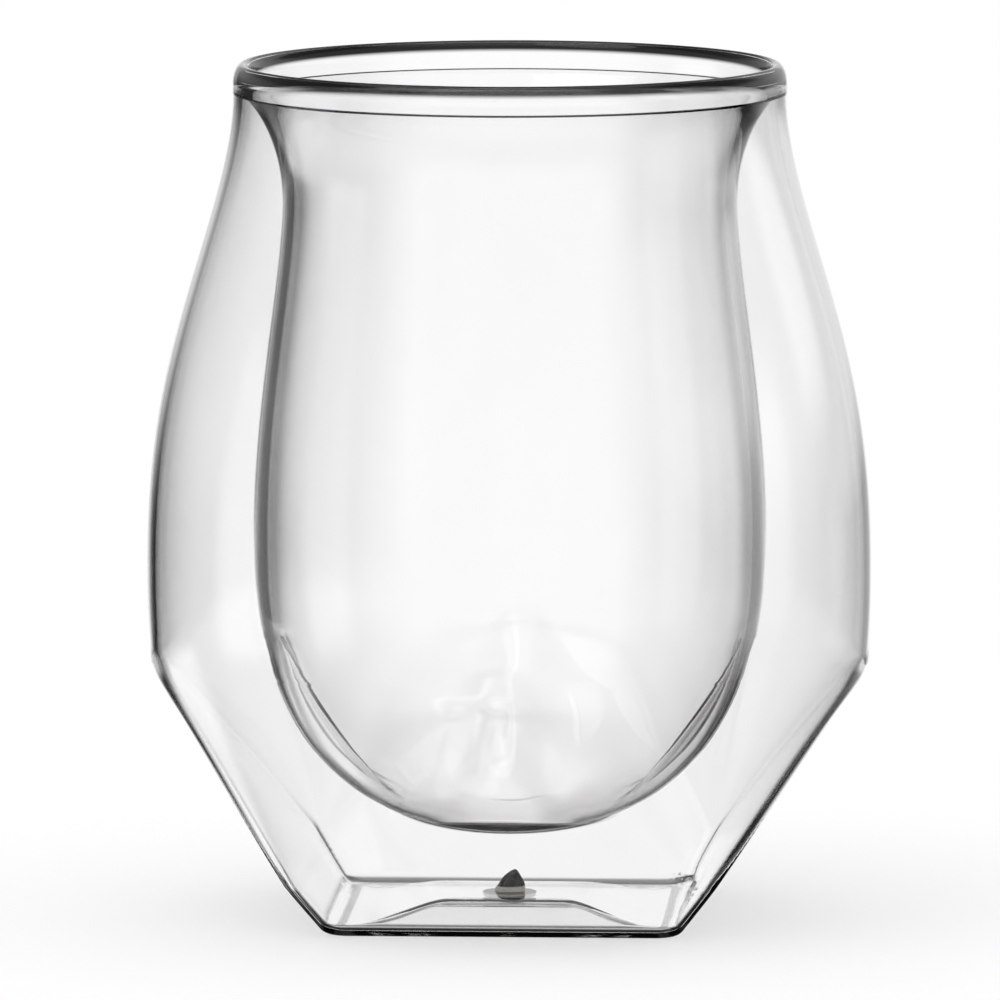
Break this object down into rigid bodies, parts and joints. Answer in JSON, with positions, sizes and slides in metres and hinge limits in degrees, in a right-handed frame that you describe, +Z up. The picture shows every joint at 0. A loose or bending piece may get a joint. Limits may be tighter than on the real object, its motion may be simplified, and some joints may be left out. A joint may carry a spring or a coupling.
{
  "type": "double-walled whiskey glass",
  "caption": "Double-walled glass tumbler: a finned round bowl fused at the rim inside a shell that swells from a round neck to a round belly, with four slanted triangular facets over a square foot.",
  "frame": {"origin": "middle of the plane that the square foot rests on", "axes": "+Z up along the axis of the neck and bowl; the four facets face +X, -X, +Y and -Y"},
  "size_m": [0.0806, 0.0806, 0.095],
  "materials": {
    "shell_glass": "clear blown borosilicate, fire polished",
    "bowl_glass": "clear blown borosilicate with pressed fins",
    "rim_glass": "flame-fused rounded bead",
    "seal_silicone": "smoky translucent silicone"
  },
  "bodies": {
    "root": {"outer_wall": "shell_glass", "inner_bowl": "bowl_glass", "rim_bead": "rim_glass", "vent_seal": "seal_silicone"}
  },
  "joints": []
}
